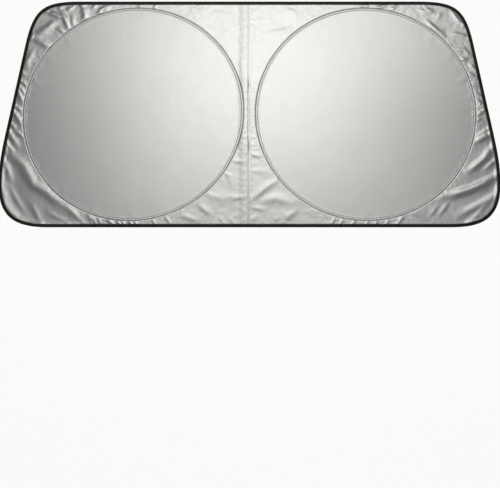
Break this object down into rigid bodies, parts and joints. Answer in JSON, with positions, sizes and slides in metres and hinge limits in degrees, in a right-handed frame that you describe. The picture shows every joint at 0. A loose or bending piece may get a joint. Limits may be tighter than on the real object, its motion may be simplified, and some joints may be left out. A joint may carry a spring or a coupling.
{
  "type": "windshield sun shade",
  "caption": "Foldable windshield sun shade laid flat: silver and charcoal cloth faces over spring wire hoops, with a centre seam and a black edge binding.",
  "frame": {"origin": "middle of the shade, on the surface that it lies on", "axes": "+X along the shade to the right, +Y towards the narrow top edge, +Z out of the silver face"},
  "size_m": [1.5058, 0.6772, 0.0153],
  "materials": {
    "silver_cloth": "aluminium-coated polyester with a satin sheen",
    "charcoal_cloth": "matte woven polyester",
    "binding_tape": "matte woven tape",
    "spring_steel": "drawn spring wire",
    "sewing_thread": "twisted polyester thread"
  },
  "bodies": {
    "root": {"front_panel_left": "silver_cloth", "front_panel_right": "silver_cloth", "back_panel_left": "charcoal_cloth", "back_panel_right": "charcoal_cloth", "edge_binding": "binding_tape", "hoop_left": "spring_steel", "hoop_right": "spring_steel", "hoop_sleeve_left": "spring_steel", "hoop_sleeve_right": "spring_steel"}
  },
  "joints": []
}
